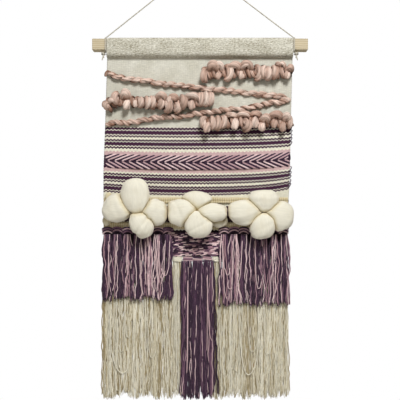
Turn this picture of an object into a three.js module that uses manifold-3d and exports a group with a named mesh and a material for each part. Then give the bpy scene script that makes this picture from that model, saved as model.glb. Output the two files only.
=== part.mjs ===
// Woven tapestry wall hanging: a square batten hung by a cord, a weft-faced cloth folded round it, braids,
// loops and puffs of thick roving worked into the cloth, and two tiers of knotted fringe.
//
// Millimetres. Seen from the front, +X is to the right, +Y towards the wall and +Z up.
// The origin is the middle of the nail that the cord hangs over.

import * as THREE from "three";
import { mergeVertices } from "three/addons/utils/BufferGeometryUtils.js";
import Module from "manifold-3d";

const wasm = await Module();
wasm.setup();

// ---- Driving dimensions ----

const GAP = 0.3; // between pieces that touch
const WRAP_GAP = 0.7; // between the cord's end and its turn round the batten, so that the batten can roll

const BATTEN = { left: -195.3, length: 400, depth: 20, height: 21, top: -133.8 };
const BATTEN_BOTTOM = BATTEN.top - BATTEN.height;
const BATTEN_CHAMFER = 1.2;

const CORD_RADIUS = 1.1;
const CORD_SIDES = 8;
const CORD_STEPS = 65;
const TAIL_STEPS = 6;
const WRAP_LEFT_X = -170.6; // middle of the turn round the batten, just outside the cloth
const WRAP_RIGHT_X = 179.3;
const ROLL_AXIS_Z = BATTEN.top + GAP + CORD_RADIUS;
const CORD_FOOT_Z = ROLL_AXIS_Z + 2 * CORD_RADIUS + WRAP_GAP;

// The cord's route, from its left foot over the nail to its right foot, as [x, z].
const CORD_ROUTE = [
  [WRAP_LEFT_X, CORD_FOOT_Z],
  [-140, -105.2],
  [-110, -81.3],
  [-80, -57.4],
  [-50, -33.5],
  [-20, -9.5],
  [-9, -0.8],
  [-3.05, 3.96],
  [-1.55, 4.75],
  [0, 5],
  [1.5, 4.77],
  [2.95, 4.03],
  [9, -0.5],
  [20, -8.9],
  [50, -31.7],
  [80, -54.4],
  [110, -77.2],
  [140, -100],
  [WRAP_RIGHT_X, CORD_FOOT_Z],
];

// Under the batten the turn ends in a knot: a lump beside the turn, with two tails of this reach and drop.
const TIE = { beside: 4.5, front: -4, size: [4.2, 3, 3] };
const TAILS = [
  { reach: 3, drop: 16 },
  { reach: -1, drop: 13 },
];

const CLOTH = { thickness: 3, seam: -168.4, bottom: -538.6 };
const SLEEVE_WALL = 1.4;
const SLEEVE_LEFT = -168.9;
const SLEEVE_RIGHT = 177.6;
const SEAM_GAP_ABOVE = 0.5; // the sleeve stops this far above the line that the panel swings on
const SEAM_GAP_BELOW = 1; // and the panel starts this far below it
// The panel's side edges as [x, z]: it leans a little to the left as it hangs.
const LEFT_EDGE = [
  [-168.8, CLOTH.seam],
  [-172.9, -302],
  [-175.5, -377],
  [-175.5, CLOTH.bottom],
];
const RIGHT_EDGE = [
  [177.6, CLOTH.seam],
  [173.8, -302],
  [172.5, -377],
  [168.2, -489],
  [168, CLOTH.bottom],
];

const FRONT = -CLOTH.thickness / 2 - GAP; // where pieces laid on the cloth's face begin
const BAND = { top: -348, height: 26.5, sag: 4.2, thickness: 2.5 };
const BRAID = { height: 11.5, thickness: 5.5, sides: 10, steps: 24 };
const LOOP = { pitch: 14, width: 9.2, depth: 6.2 };
const SOUMAK = { left: -54, right: 46.6, top: -503.5, bottom: -538, thickness: 2.5 };

const KNOT = { thickness: 2.8, height: 14.5, bump: 1.6 };
const UPPER_KNOTS_TOP = -484.5;
const LOWER_KNOTS = { top: CLOTH.bottom - GAP, height: 10.5, thickness: 7 };
const SWING_GAP = 2.4; // between a knot row and the tassels that swing below it

const UPPER_TASSEL = { front: -12.2, back: -4.6, top: UPPER_KNOTS_TOP - KNOT.height - SWING_GAP };
const CENTRE_TASSEL = { front: -11, back: -4.5 };
const LOWER_TASSEL = { front: -4, back: 4, top: LOWER_KNOTS.top - LOWER_KNOTS.height - SWING_GAP };
const TASSEL_GAP = 0.9; // between neighbours in a row
// A tassel's shape, as shares of the row's pitch: how far it is drawn in at its knot, how far down it is
// full, and how much of each corner is cut off its uneven end.
const TASSEL = { gather: 0.14, full: 1.6, leftCut: 0.2, rightCut: 0.3, cutHeight: 0.45 };

// ---- Colours ----

const matte = (colour) =>
  new THREE.MeshStandardMaterial({ color: colour, roughness: 0.9, metalness: 0 });
const PINE = matte(0xd9c39a);
const COTTON_CORD = matte(0xc3bcab);
const CREAM_WOOL = matte(0xe3dfcf);
const DARK_PURPLE = matte(0x4a3450);
const DUSTY_PINK = matte(0xc8a59b);
const MAUVE = matte(0x8a6580);

// ---- Shapes ----

const hanging = new THREE.Group();

function add(name, geometry, material) {
  const mesh = new THREE.Mesh(geometry, material);
  mesh.name = name;
  hanging.add(mesh);
}

// A closed geometry as a solid, and a solid as a geometry.
function solidOf(geometry) {
  const bare = new THREE.BufferGeometry();
  const whole = geometry.index ? geometry.toNonIndexed() : geometry;
  bare.setAttribute("position", whole.getAttribute("position"));
  const merged = mergeVertices(bare, 1e-4);
  return new wasm.Manifold(
    new wasm.Mesh({
      numProp: 3,
      vertProperties: merged.attributes.position.array,
      triVerts: new Uint32Array(merged.index.array),
    }),
  );
}

function geometryOf(solid) {
  const mesh = solid.getMesh();
  const geometry = new THREE.BufferGeometry();
  geometry.setAttribute("position", new THREE.BufferAttribute(mesh.vertProperties, 3));
  geometry.setIndex(new THREE.BufferAttribute(mesh.triVerts, 1));
  geometry.computeVertexNormals();
  return geometry;
}

const joined = (geometries) =>
  geometryOf(geometries.map(solidOf).reduce((all, next) => all.add(next)));

function shapeOf(points) {
  return new THREE.Shape(points.map(([a, b]) => new THREE.Vector2(a, b)));
}

// An outline of [x, z] points, from y = back forwards.
function plate(outline, back, thickness) {
  const solid = new THREE.ExtrudeGeometry(shapeOf(outline), {
    depth: thickness,
    bevelEnabled: false,
  });
  return solid.rotateX(Math.PI / 2).translate(0, back, 0);
}

// A section of [y, z] points, with holes, along x.
function barAlongX(section, x0, x1, holes = []) {
  const shape = shapeOf(section);
  shape.holes = holes.map((hole) => new THREE.Path(shapeOf(hole).getPoints()));
  const solid = new THREE.ExtrudeGeometry(shape, { depth: x1 - x0, bevelEnabled: false });
  const turn = new THREE.Matrix4().makeBasis(
    new THREE.Vector3(0, 1, 0),
    new THREE.Vector3(0, 0, 1),
    new THREE.Vector3(1, 0, 0),
  );
  return solid.applyMatrix4(turn).translate(x0, 0, 0);
}

// A tube of oval section along [x, z] points at one depth.
function tube(route, y, acrossY, acrossZ, sides, steps) {
  const section = Array.from({ length: sides }, (_, i) => {
    const a = (2 * Math.PI * i) / sides;
    return [acrossY * Math.cos(a), acrossZ * Math.sin(a)];
  });
  const path = new THREE.CatmullRomCurve3(route.map(([x, z]) => new THREE.Vector3(x, y, z)));
  return new THREE.ExtrudeGeometry(shapeOf(section), { extrudePath: path, steps });
}

function lump([x, y, z], [rx, ry, rz], tilt = 0, detail = 2) {
  const ball = new THREE.IcosahedronGeometry(1, detail).scale(rx, ry, rz);
  return ball.rotateY(tilt).translate(x, y, z);
}

// ---- Batten and cord ----

function addBatten() {
  const y = BATTEN.depth / 2;
  const c = BATTEN_CHAMFER;
  const section = [
    [-y + c, BATTEN_BOTTOM],
    [y - c, BATTEN_BOTTOM],
    [y, BATTEN_BOTTOM + c],
    [y, BATTEN.top - c],
    [y - c, BATTEN.top],
    [-y + c, BATTEN.top],
    [-y, BATTEN.top - c],
    [-y, BATTEN_BOTTOM + c],
  ];
  add("batten", barAlongX(section, BATTEN.left, BATTEN.left + BATTEN.length), PINE);
}

function addCord() {
  const cord = tube(CORD_ROUTE, 0, CORD_RADIUS, CORD_RADIUS, CORD_SIDES, CORD_STEPS);
  add("hanging_cord", cord, COTTON_CORD);
}

// One turn round the batten, with a knot and two tails under it.
function addTie(side, x, outwards) {
  const rectangle = (margin) => {
    const y = BATTEN.depth / 2 + margin;
    return [
      [-y, BATTEN_BOTTOM - margin],
      [y, BATTEN_BOTTOM - margin],
      [y, BATTEN.top + margin],
      [-y, BATTEN.top + margin],
    ];
  };
  const outer = rectangle(GAP + 2 * CORD_RADIUS);
  const turn = barAlongX(outer, x - CORD_RADIUS, x + CORD_RADIUS, [rectangle(GAP)]);
  add("cord_wrap_" + side, turn, COTTON_CORD);

  const knotTop = BATTEN_BOTTOM - 2 * GAP - 2 * CORD_RADIUS;
  const middle = x + TIE.beside * outwards;
  const centre = knotTop - TIE.size[2];
  const tails = TAILS.map(({ reach, drop }) => {
    const route = [
      [middle, centre - 1],
      [middle + 0.6 * reach * outwards, (centre + knotTop - drop) / 2],
      [middle + reach * outwards, knotTop - drop],
    ];
    return tube(route, TIE.front, CORD_RADIUS, CORD_RADIUS, CORD_SIDES, TAIL_STEPS);
  });
  const knot = lump([middle, TIE.front, centre], TIE.size);
  add("cord_knot_" + side, joined([knot, ...tails]), COTTON_CORD);
}

// ---- Cloth ----

function addSleeve() {
  const inside = BATTEN.depth / 2 + GAP;
  const outside = inside + SLEEVE_WALL;
  const bottom = CLOTH.seam + SEAM_GAP_ABOVE;
  const half = CLOTH.thickness / 2;
  const section = [
    [-half, bottom],
    [half, bottom],
    [outside, BATTEN_BOTTOM],
    [outside, BATTEN.top + GAP + SLEEVE_WALL],
    [-outside, BATTEN.top + GAP + SLEEVE_WALL],
    [-outside, BATTEN_BOTTOM],
  ];
  const hollow = [
    [0, bottom + 4],
    [inside, BATTEN_BOTTOM - GAP],
    [inside, BATTEN.top + GAP],
    [-inside, BATTEN.top + GAP],
    [-inside, BATTEN_BOTTOM - GAP],
  ];
  add("rod_sleeve", barAlongX(section, SLEEVE_LEFT, SLEEVE_RIGHT, [hollow]), CREAM_WOOL);
}

function addPanel() {
  const top = CLOTH.seam - SEAM_GAP_BELOW;
  const lowered = (edge) => edge.map(([x, z]) => [x, Math.min(z, top)]);
  const outline = [...lowered(LEFT_EDGE), ...lowered(RIGHT_EDGE).reverse()];
  add("woven_panel", plate(outline, CLOTH.thickness / 2, CLOTH.thickness), CREAM_WOOL);
}

// Two rows of slanting stitches, which sag in the middle with the weave.
function addHerringboneBand() {
  const left = LEFT_EDGE[1][0] + 0.5;
  const right = RIGHT_EDGE[2][0] - 0.5;
  const middle = (left + right) / 2;
  const low = BAND.top - 2 * BAND.sag; // a quadratic's control point lies twice as low as its middle
  const shape = new THREE.Shape();
  shape.moveTo(left, BAND.top);
  shape.quadraticCurveTo(middle, low, right, BAND.top);
  shape.lineTo(right, BAND.top - BAND.height);
  shape.quadraticCurveTo(middle, low - BAND.height, left, BAND.top - BAND.height);
  const band = new THREE.ExtrudeGeometry(shape, {
    depth: BAND.thickness,
    bevelEnabled: false,
    curveSegments: 12,
  });
  add("herringbone_band", band.rotateX(Math.PI / 2).translate(0, FRONT, 0), DARK_PURPLE);
}

function addBraid(name, route) {
  const y = FRONT - BRAID.thickness / 2;
  const braid = tube(
    route, y, BRAID.thickness / 2, BRAID.height / 2, BRAID.sides, BRAID.steps,
  );
  add(name, braid, DUSTY_PINK);
}

// A row of roving loops between two [x, z] points, each alternately a little higher and lower.
function addLoops(name, from, to, tall, stagger) {
  const [x0, z0] = from;
  const [x1, z1] = to;
  const count = Math.round((x1 - x0) / LOOP.pitch);
  const y = FRONT - LOOP.depth;
  const loops = Array.from({ length: count }, (_, i) => {
    const t = (i + 0.5) / count;
    const z = z0 + (z1 - z0) * t + (i % 2 ? stagger : -stagger);
    return lump([x0 + (x1 - x0) * t, y, z], [LOOP.width, LOOP.depth, tall], 0, 1);
  });
  add(name, joined(loops), DUSTY_PINK);
}

// Each cluster is one thick roving that swells into lobes round a tight middle. A lobe is its middle as
// [x, z], its half width and half height, how far it stands off the cloth, and its tilt in degrees.
const PUFF_HALF_DEPTH = 18.5;
const PUFFS = {
  left: {
    core: [-113, -449],
    lobes: [
      { at: [-149.5, -447.7], size: [23.5, 25.5], off: 1, tilt: 0 },
      { at: [-114.7, -419.6], size: [25.7, 24.5], off: 0, tilt: 0 },
      { at: [-79.5, -455.9], size: [21, 26], off: 2, tilt: 0 },
      { at: [-106, -477.5], size: [23.5, 19.5], off: 6, tilt: 20 },
    ],
  },
  centre: {
    core: [-2, -457],
    lobes: [
      { at: [-32, -455.9], size: [24, 23.5], off: 2, tilt: 0 },
      { at: [-1.6, -433], size: [26.5, 15.5], off: 0, tilt: 0 },
      { at: [27.5, -455.9], size: [25.5, 17], off: 2, tilt: 0 },
      { at: [0.9, -481.5], size: [24, 18], off: 6, tilt: 25 },
    ],
  },
  right: {
    core: [121, -457],
    lobes: [
      { at: [86.2, -455.9], size: [28.8, 22], off: 2, tilt: 0 },
      { at: [120.9, -431.7], size: [27.5, 18.5], off: 0, tilt: 0 },
      { at: [151, -461], size: [22.5, 26.5], off: 2, tilt: 0 },
      { at: [120.9, -481.4], size: [22.9, 23.5], off: 7, tilt: 0 },
    ],
  },
};

function addPuffs(side) {
  const { core, lobes } = PUFFS[side];
  const middleY = FRONT - PUFF_HALF_DEPTH;
  const parts = lobes.map(({ at, size, off, tilt }) =>
    lump(
      [at[0], middleY - off, at[1]],
      [size[0], PUFF_HALF_DEPTH, size[1]],
      THREE.MathUtils.degToRad(tilt),
    ),
  );
  const tie = lump([core[0], middleY, core[1]], [15, PUFF_HALF_DEPTH - 4, 15]);
  add("roving_puffs_" + side, joined([...parts, tie]), CREAM_WOOL);
}

function addCentreSoumak() {
  const { left, right, top, bottom, thickness } = SOUMAK;
  const face = new THREE.BoxGeometry(right - left, thickness, top - bottom);
  face.translate((left + right) / 2, FRONT - thickness / 2, (top + bottom) / 2);
  add("centre_soumak", face, MAUVE);
}

// ---- Fringe ----

// A row of knots: one bar with a bump for each tassel.
function addKnots(name, left, right, count, top, height, front, back, material) {
  const pitch = (right - left) / count;
  const outline = [];
  for (let i = 0; i < count; i++) {
    outline.push([left + pitch * i, top - KNOT.bump]);
    outline.push([left + pitch * (i + 0.5), top]);
  }
  outline.push([right, top - KNOT.bump], [right, top - height], [left, top - height]);
  add(name, plate(outline, back, back - front), material);
}

// Tassels side by side: gathered at the knot, full below it, and uneven at the ends. spread widens the row
// towards its ends, about the row's middle.
function addTassels(name, left, right, count, top, bottomAt, layer, material, spread = 1) {
  const pitch = (right - left) / count;
  const middle = (left + right) / 2;
  for (let i = 0; i < count; i++) {
    const x0 = left + pitch * i + TASSEL_GAP / 2;
    const x1 = left + pitch * (i + 1) - TASSEL_GAP / 2;
    const bottom = bottomAt(i);
    const full = top - TASSEL.full * pitch;
    const corner = bottom + TASSEL.cutHeight * pitch;
    const gather = TASSEL.gather * pitch;
    const flare = (x) => middle + (x - middle) * spread;
    const outline = [
      [x0 + gather, top],
      [x0, full],
      [flare(x0), corner],
      [flare(x0 + TASSEL.leftCut * pitch), bottom],
      [flare(x1 - TASSEL.rightCut * pitch), bottom],
      [flare(x1), corner],
      [x1, full],
      [x1 - gather, top],
    ];
    add(`${name}_${i + 1}`, plate(outline, layer.back, layer.back - layer.front), material);
  }
}

const UPPER_LEFT = { left: -177.5, right: -45.6, count: 7 };
const UPPER_RIGHT = { left: 39.9, right: 169.6, count: 7 };
const LOWER_LEFT = { left: -176.6, right: -28, count: 8 };
const LOWER_CENTRE = { left: -27.2, right: 27.2, count: 3 };
const LOWER_RIGHT = { left: 28, right: 169.2, count: 8 };
const UPPER_BOTTOM = { left: -619, right: -629, range: 4 };
const LOWER_BOTTOM = { z: -805, range: 3 };
const CENTRE_SPREAD = 1.15;

// Where each tassel in a row ends: a little above or below the row's bottom.
const uneven = (bottom, range) => (i) => bottom - range * Math.sin(2.4 * i + 1);

function addUpperFringe(side, { left, right, count }) {
  const back = FRONT;
  addKnots(
    "purple_knots_" + side, left, right, count,
    UPPER_KNOTS_TOP, KNOT.height, back - KNOT.thickness, back, DARK_PURPLE,
  );
  addTassels(
    "purple_tassel_" + side, left, right, count,
    UPPER_TASSEL.top, uneven(UPPER_BOTTOM[side], UPPER_BOTTOM.range), UPPER_TASSEL, MAUVE,
  );
}

function addLowerKnots(name, { left, right, count }, material) {
  const half = LOWER_KNOTS.thickness / 2;
  addKnots(
    name, left, right, count, LOWER_KNOTS.top, LOWER_KNOTS.height, -half, half, material,
  );
}

function addLowerFringe() {
  const bottomAt = uneven(LOWER_BOTTOM.z, LOWER_BOTTOM.range);
  addLowerKnots("cream_knots_left", LOWER_LEFT, CREAM_WOOL);
  addLowerKnots("cream_knots_right", LOWER_RIGHT, CREAM_WOOL);
  addLowerKnots("purple_knots_centre", LOWER_CENTRE, DARK_PURPLE);
  for (const [side, row] of [["left", LOWER_LEFT], ["right", LOWER_RIGHT]]) {
    addTassels(
      "cream_tassel_" + side, row.left, row.right, row.count,
      LOWER_TASSEL.top, bottomAt, LOWER_TASSEL, CREAM_WOOL,
    );
  }
  addTassels(
    "purple_tassel_centre", LOWER_CENTRE.left, LOWER_CENTRE.right, LOWER_CENTRE.count,
    LOWER_TASSEL.top, bottomAt, CENTRE_TASSEL, MAUVE, CENTRE_SPREAD,
  );
}

// ---- Assembly ----

addBatten();
addCord();
addTie("left", WRAP_LEFT_X, -1);
addTie("right", WRAP_RIGHT_X, 1);
addSleeve();
addPanel();
addHerringboneBand();
addBraid("pink_braid_upper", [
  [-167, -198.5],
  [-68.5, -217.1],
  [43.7, -228.3],
  [138, -239],
]);
addBraid("pink_braid_lower", [
  [-170.5, -291.6],
  [-90, -283.2],
  [-8.4, -273.5],
  [75, -264],
  [170.5, -248.5],
]);
addLoops("pink_loops_upper", [8, -196], [172, -198], 10.5, 5);
addLoops("pink_loops_middle", [-170, -250], [32, -246], 10, 3.5);
addLoops("pink_loops_lower", [6, -296], [172, -290], 10, 3.5);
addPuffs("left");
addPuffs("centre");
addPuffs("right");
addCentreSoumak();
addUpperFringe("left", UPPER_LEFT);
addUpperFringe("right", UPPER_RIGHT);
addLowerFringe();

export default hanging;
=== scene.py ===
"""Looks of a woven tapestry wall hanging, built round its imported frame.

Metres. +X is to the right as the hanging is seen, +Y towards the wall, +Z up, and the origin is the nail.
Lists of places are in millimetres, as [x, z] or [x, y, z], and mm() turns them into metres.
"""

import math

import bpy
import numpy as np
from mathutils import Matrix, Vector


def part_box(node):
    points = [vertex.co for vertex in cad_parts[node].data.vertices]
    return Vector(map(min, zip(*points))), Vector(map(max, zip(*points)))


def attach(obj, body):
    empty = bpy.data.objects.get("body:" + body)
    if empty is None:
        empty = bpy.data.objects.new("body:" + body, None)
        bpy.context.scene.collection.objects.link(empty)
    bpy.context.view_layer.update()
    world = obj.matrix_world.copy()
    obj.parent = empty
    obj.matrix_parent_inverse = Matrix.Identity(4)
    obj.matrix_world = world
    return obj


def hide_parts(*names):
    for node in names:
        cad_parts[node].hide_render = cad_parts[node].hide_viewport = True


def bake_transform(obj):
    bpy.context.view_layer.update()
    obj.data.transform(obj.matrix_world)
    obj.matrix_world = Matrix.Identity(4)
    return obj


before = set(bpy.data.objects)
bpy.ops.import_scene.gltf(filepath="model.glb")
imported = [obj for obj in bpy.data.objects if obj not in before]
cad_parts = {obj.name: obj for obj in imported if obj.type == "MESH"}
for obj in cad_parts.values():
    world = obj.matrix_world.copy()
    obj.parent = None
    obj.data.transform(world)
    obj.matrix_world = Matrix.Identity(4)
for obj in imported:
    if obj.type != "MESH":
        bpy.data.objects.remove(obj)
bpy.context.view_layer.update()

MM = 0.001
TAU = 2 * math.pi


def mm(values):
    return np.array(values, float) * MM


def box_of(node):
    """A CAD node's lowest and highest corners at rest."""
    low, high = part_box(node)
    return np.array(low), np.array(high)


def count_nodes(stem):
    return sum(node.startswith(stem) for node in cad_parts)


# ---- The frame's places ----

BATTEN_LOW, BATTEN_HIGH = box_of("batten")
PANEL_LOW = box_of("woven_panel")[0]
BAND_LOW, BAND_HIGH = box_of("herringbone_band")
SEAM = box_of("rod_sleeve")[0][2] - 0.5 * MM
FACE = PANEL_LOW[1]

# The panel's side edges as [x, z], from the seam down: it leans a little to the left.
LEFT_EDGE = mm([[-168.8, -168.4], [-172.9, -302], [-175.5, -377], [-175.5, -538.6]])
RIGHT_EDGE = mm([[177.6, -168.4], [173.8, -302], [172.5, -377], [168.2, -489], [168, -538.6]])

RIB = 3.33 * MM  # between neighbouring warps
PICK = 2.2 * MM  # one bead of weft on a warp


# ---- Camera, floor and light ----

CAMERA_PLACE = (0.0046, -1.11, -0.433)  # it looks straight along +Y
CAMERA_LENS, CAMERA_SENSOR = 53.46, 36  # mm
FLOOR_LEVEL = PANEL_LOW[2] - 1.06
FLOOR_HALF = 1.5
AIM = (0, 0, -0.5)
# Each area light's name, place, aim, side, power in watts and colour.
LIGHTS = [
    ("key", (0.3, -1.3, 0.78), AIM, 0.5, 30.5, (1, 1, 0.995)),
    ("fill", (-1.2, -1.7, -0.4), AIM, 1.2, 4.5, (1, 0.99, 0.97)),
    ("behind", (-0.9, 1.5, 0.2), AIM, 1.2, 14, (1, 1, 1)),
    ("low", (0, 0, FLOOR_LEVEL + 0.7), (0, 0, FLOOR_LEVEL), 1.8, 7, (1, 1, 1)),
]


def add_object(name, data):
    made = bpy.data.objects.new(name, data)
    bpy.context.collection.objects.link(made)
    return made


def add_camera():
    camera = bpy.data.cameras.new("camera")
    camera.lens = CAMERA_LENS
    camera.sensor_width = CAMERA_SENSOR
    placed = add_object("camera", camera)
    placed.location = CAMERA_PLACE
    placed.rotation_euler = (math.pi / 2, 0, 0)
    bpy.context.scene.camera = placed


def add_area_light(name, place, aim, size, power, colour):
    light = bpy.data.lights.new(name, "AREA")
    light.size = size
    light.energy = power
    light.color = colour
    placed = add_object(name, light)
    placed.location = place
    way = np.array(aim, float) - np.array(place, float)
    flat = math.hypot(way[0], way[1])
    placed.rotation_euler = (math.pi / 2 + math.atan2(way[2], flat), 0, math.atan2(-way[0], way[1]))


def add_world():
    """The studio's white shows behind the hanging, and lights it more dimly and warmly than it shows."""
    world = bpy.data.worlds.new("studio")
    bpy.context.scene.world = world
    world.use_nodes = True
    tree = world.node_tree
    tree.nodes.clear()
    either = tree.nodes.new("ShaderNodeMixShader")
    seen = tree.nodes.new("ShaderNodeLightPath")
    tree.links.new(seen.outputs["Is Camera Ray"], either.inputs[0])
    for index, colour, strength in ((1, (1.0, 0.92, 0.78, 1), 0.18), (2, (1, 1, 1, 1), 1.0)):
        background = tree.nodes.new("ShaderNodeBackground")
        background.inputs["Color"].default_value = colour
        background.inputs["Strength"].default_value = strength
        tree.links.new(background.outputs[0], either.inputs[index])
    output = tree.nodes.new("ShaderNodeOutputWorld")
    tree.links.new(either.outputs[0], output.inputs["Surface"])


def add_studio():
    add_world()
    bpy.context.scene.view_settings.view_transform = "Standard"
    for light in LIGHTS:
        add_area_light(*light)
    mesh = bpy.data.meshes.new("floor")
    corners = [(FLOOR_HALF * x, FLOOR_HALF * y, FLOOR_LEVEL) for x, y in ((-1, -1), (1, -1), (1, 1), (-1, 1))]
    mesh.from_pydata(corners, [], [(0, 1, 2, 3)])
    floor = add_object("floor", mesh)
    pale = bpy.data.materials.new("pale_floor")
    pale.use_nodes = True
    shader = pale.node_tree.nodes["Principled BSDF"]
    shader.inputs["Base Color"].default_value = (0.86, 0.855, 0.84, 1)
    shader.inputs["Roughness"].default_value = 0.8
    mesh.materials.append(pale)


# ---- Materials ----


def tone(red, green, blue):
    """An sRGB colour from 0 to 255, as a linear one."""
    parts = [part / 255 for part in (red, green, blue)]
    return tuple(p / 12.92 if p <= 0.04045 else ((p + 0.055) / 1.055) ** 2.4 for p in parts) + (1,)


class Shader:
    """A material's nodes, made by name and linked as they are made."""

    def __init__(self, name, roughness, sheen=0.0, sheen_tint=(1, 1, 1, 1)):
        self.material = bpy.data.materials.new(name)
        self.material.use_nodes = True
        self.tree = self.material.node_tree
        self.surface = self.tree.nodes["Principled BSDF"]
        self.surface.inputs["Roughness"].default_value = roughness
        self.surface.inputs["Sheen Weight"].default_value = sheen
        self.surface.inputs["Sheen Roughness"].default_value = 0.5
        self.surface.inputs["Sheen Tint"].default_value = sheen_tint
        self.surface.inputs["Specular IOR Level"].default_value = 0.2

    def node(self, kind, inputs=(), output=0, **settings):
        made = self.tree.nodes.new("ShaderNode" + kind)
        for key, value in settings.items():
            setattr(made, key, value)
        for key, value in dict(inputs).items():
            if isinstance(value, bpy.types.NodeSocket):
                self.tree.links.new(value, made.inputs[key])
            else:
                made.inputs[key].default_value = value
        return made.outputs[output]

    def attribute(self, name, output="Fac"):
        return self.node("Attribute", output=output, attribute_name=name)

    def maths(self, operation, first, second=0.0, third=0.0):
        return self.node("Math", {0: first, 1: second, 2: third}, operation=operation)

    def noise(self, vector, scale, detail=2.0, roughness=0.5):
        """Noise with scale waves a metre along each of the vector's axes."""
        scaled = self.node("Mapping", {"Vector": vector, "Scale": scale})
        settings = {"Vector": scaled, "Scale": 1.0, "Detail": detail, "Roughness": roughness}
        return self.node("TexNoise", settings)

    def spread(self, value, low, high, to_low=0.0, to_high=1.0):
        limits = {0: value, 1: low, 2: high, 3: to_low, 4: to_high}
        return self.node("MapRange", limits)

    def mix(self, share, first, second, way="MIX"):
        made = self.tree.nodes.new("ShaderNodeMix")
        made.data_type = "RGBA"
        made.blend_type = way
        for index, value in ((0, share), (6, first), (7, second)):
            if isinstance(value, bpy.types.NodeSocket):
                self.tree.links.new(value, made.inputs[index])
            else:
                made.inputs[index].default_value = value
        return made.outputs[2]

    def ramp(self, share, stops, steps="LINEAR"):
        made = self.tree.nodes.new("ShaderNodeValToRGB")
        made.color_ramp.interpolation = steps
        elements = made.color_ramp.elements
        elements[0].position, elements[0].color = stops[0]
        elements[1].position, elements[1].color = stops[-1]
        for position, colour in stops[1:-1]:
            elements.new(position).color = colour
        self.tree.links.new(share, made.inputs[0])
        return made.outputs[0]

    def colour(self, base, light):
        """The surface's colour: the base, times the light share."""
        grey = self.node("CombineColor", {0: light, 1: light, 2: light})
        shaded = self.mix(1.0, base, grey, "MULTIPLY")
        self.tree.links.new(shaded, self.surface.inputs["Base Color"])

    def bump(self, height, distance, strength=1.0):
        normal = self.node("Bump", {"Height": height, "Distance": distance, "Strength": strength})
        self.tree.links.new(normal, self.surface.inputs["Normal"])


def fibre_material(name, stops, fibre=1.0, sheen=0.3, shade=0.25, bump=0.4):
    """Wool, roving or cotton: a colour chosen by each yarn's tint, with painted shade and painted light on
    the rovings, and streaks along its fibres.
    """
    made = Shader(name, 0.88, sheen, tone(255, 246, 238))
    along = made.attribute("strand", "Vector")
    tint = made.attribute("tint")
    fine = made.noise(along, (90 / fibre, 2600 / fibre, 2600 / fibre), 3, 0.6)
    locks = made.noise(along, (26 / fibre, 560 / fibre, 560 / fibre), 2, 0.5)
    streaks = made.maths("MULTIPLY_ADD", locks, 0.62, made.maths("MULTIPLY", fine, 0.38))
    clouds = made.noise(along, (60, 60, 60), 2, 0.5)
    light = made.spread(streaks, 0.36, 0.64, 1 - shade, 1 + shade * 0.4)
    base = made.ramp(made.maths("MULTIPLY_ADD", made.spread(clouds, 0.3, 0.7, -1, 1), 0.06, tint), stops)
    made.colour(base, light)
    made.bump(streaks, 1.6 * MM * fibre, bump)
    return made.material


def yarn_material(name, stops, ply=5.0, sheen=0.3):
    """Spun two-ply yarn: fibre streaks, and painted shade in the groove that winds between the plies."""
    made = Shader(name, 0.86, sheen, tone(255, 240, 245))
    along = made.attribute("strand", "Vector")
    tint = made.attribute("tint")
    turn = made.attribute("turn")
    place = made.node("SeparateXYZ", {0: along})
    wound = made.maths("MULTIPLY_ADD", place, TAU / (ply * MM), turn)
    groove = made.maths("ABSOLUTE", made.maths("SINE", wound))
    streaks = made.noise(along, (220, 3200, 3200), 2, 0.6)
    base = made.ramp(tint, stops)
    # Painted shade: darker in the groove between the plies, with fibre streaks.
    depth = made.maths("MULTIPLY_ADD", groove, 0.26, made.spread(streaks, 0.3, 0.7, 0.64, 0.92))
    made.colour(base, depth)
    made.bump(made.maths("ADD", groove, streaks), 0.5 * MM, 0.7)
    return made.material


def pine_material():
    made = Shader("pine", 0.62)
    made.surface.inputs["Specular IOR Level"].default_value = 0.35
    place = made.node("TexCoord", output="Object")
    bent = made.node("Mapping", {"Vector": place, "Location": (0, -0.03, 0.215)})
    rings = made.node(
        "TexWave",
        {"Vector": bent, "Scale": 95, "Distortion": 3.2, "Detail": 2, "Detail Scale": 0.25},
        wave_type="RINGS", rings_direction="X", wave_profile="SAW",
    )
    fine = made.noise(place, (30, 1500, 1500), 3, 0.6)
    patches = made.noise(place, (6, 60, 60), 2, 0.5)
    base = made.ramp(rings, [
        (0.0, tone(202, 192, 166)), (0.55, tone(195, 182, 154)),
        (0.85, tone(180, 162, 128)), (1.0, tone(164, 144, 108)),
    ])
    grain = made.spread(fine, 0.3, 0.7, 0.86, 1.06)
    cloud = made.spread(patches, 0.3, 0.7, 0.93, 1.05)
    both = made.maths("MULTIPLY", grain, cloud)
    made.colour(base, both)
    made.bump(fine, 0.3 * MM, 0.35)
    return made.material


PALE = tone(238, 235, 217)
DARK = tone(68, 34, 62)
PALE_PINK = tone(216, 184, 184)

# Places down the cloth are [top, bottom], from the nail's level at its left edge.
DARK_STRIPES = [
    [297.4, 301.4], [303.2, 310.4], [312.0, 315.1], [319.3, 322.5], [324.0, 331.0], [332.7, 335.9],
    [382.0, 385.2], [386.6, 393.4], [394.9, 397.7], [402.0, 405.2], [406.5, 412.8], [414.4, 417.2],
]
PINK_STRIPES = [[341.2, 348.2], [371.5, 378.6]]
BAND_GROUND = [348.2, 371.5]
STRIPES_TOP, STRIPES_BOTTOM = 296 * MM, 419 * MM
# Where the puffs and the upper fringe lie over the cloth, it is painted dark: painted shade for the gaps
# between them.
PAINTED_SHADE_PARTS = [(0.4385, 0.4715, tone(70, 48, 60)), (0.488, 0.56, tone(52, 36, 50))]
PAINTED_SHADE_EDGE = 0.5 * MM  # over which the cloth turns dark


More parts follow.
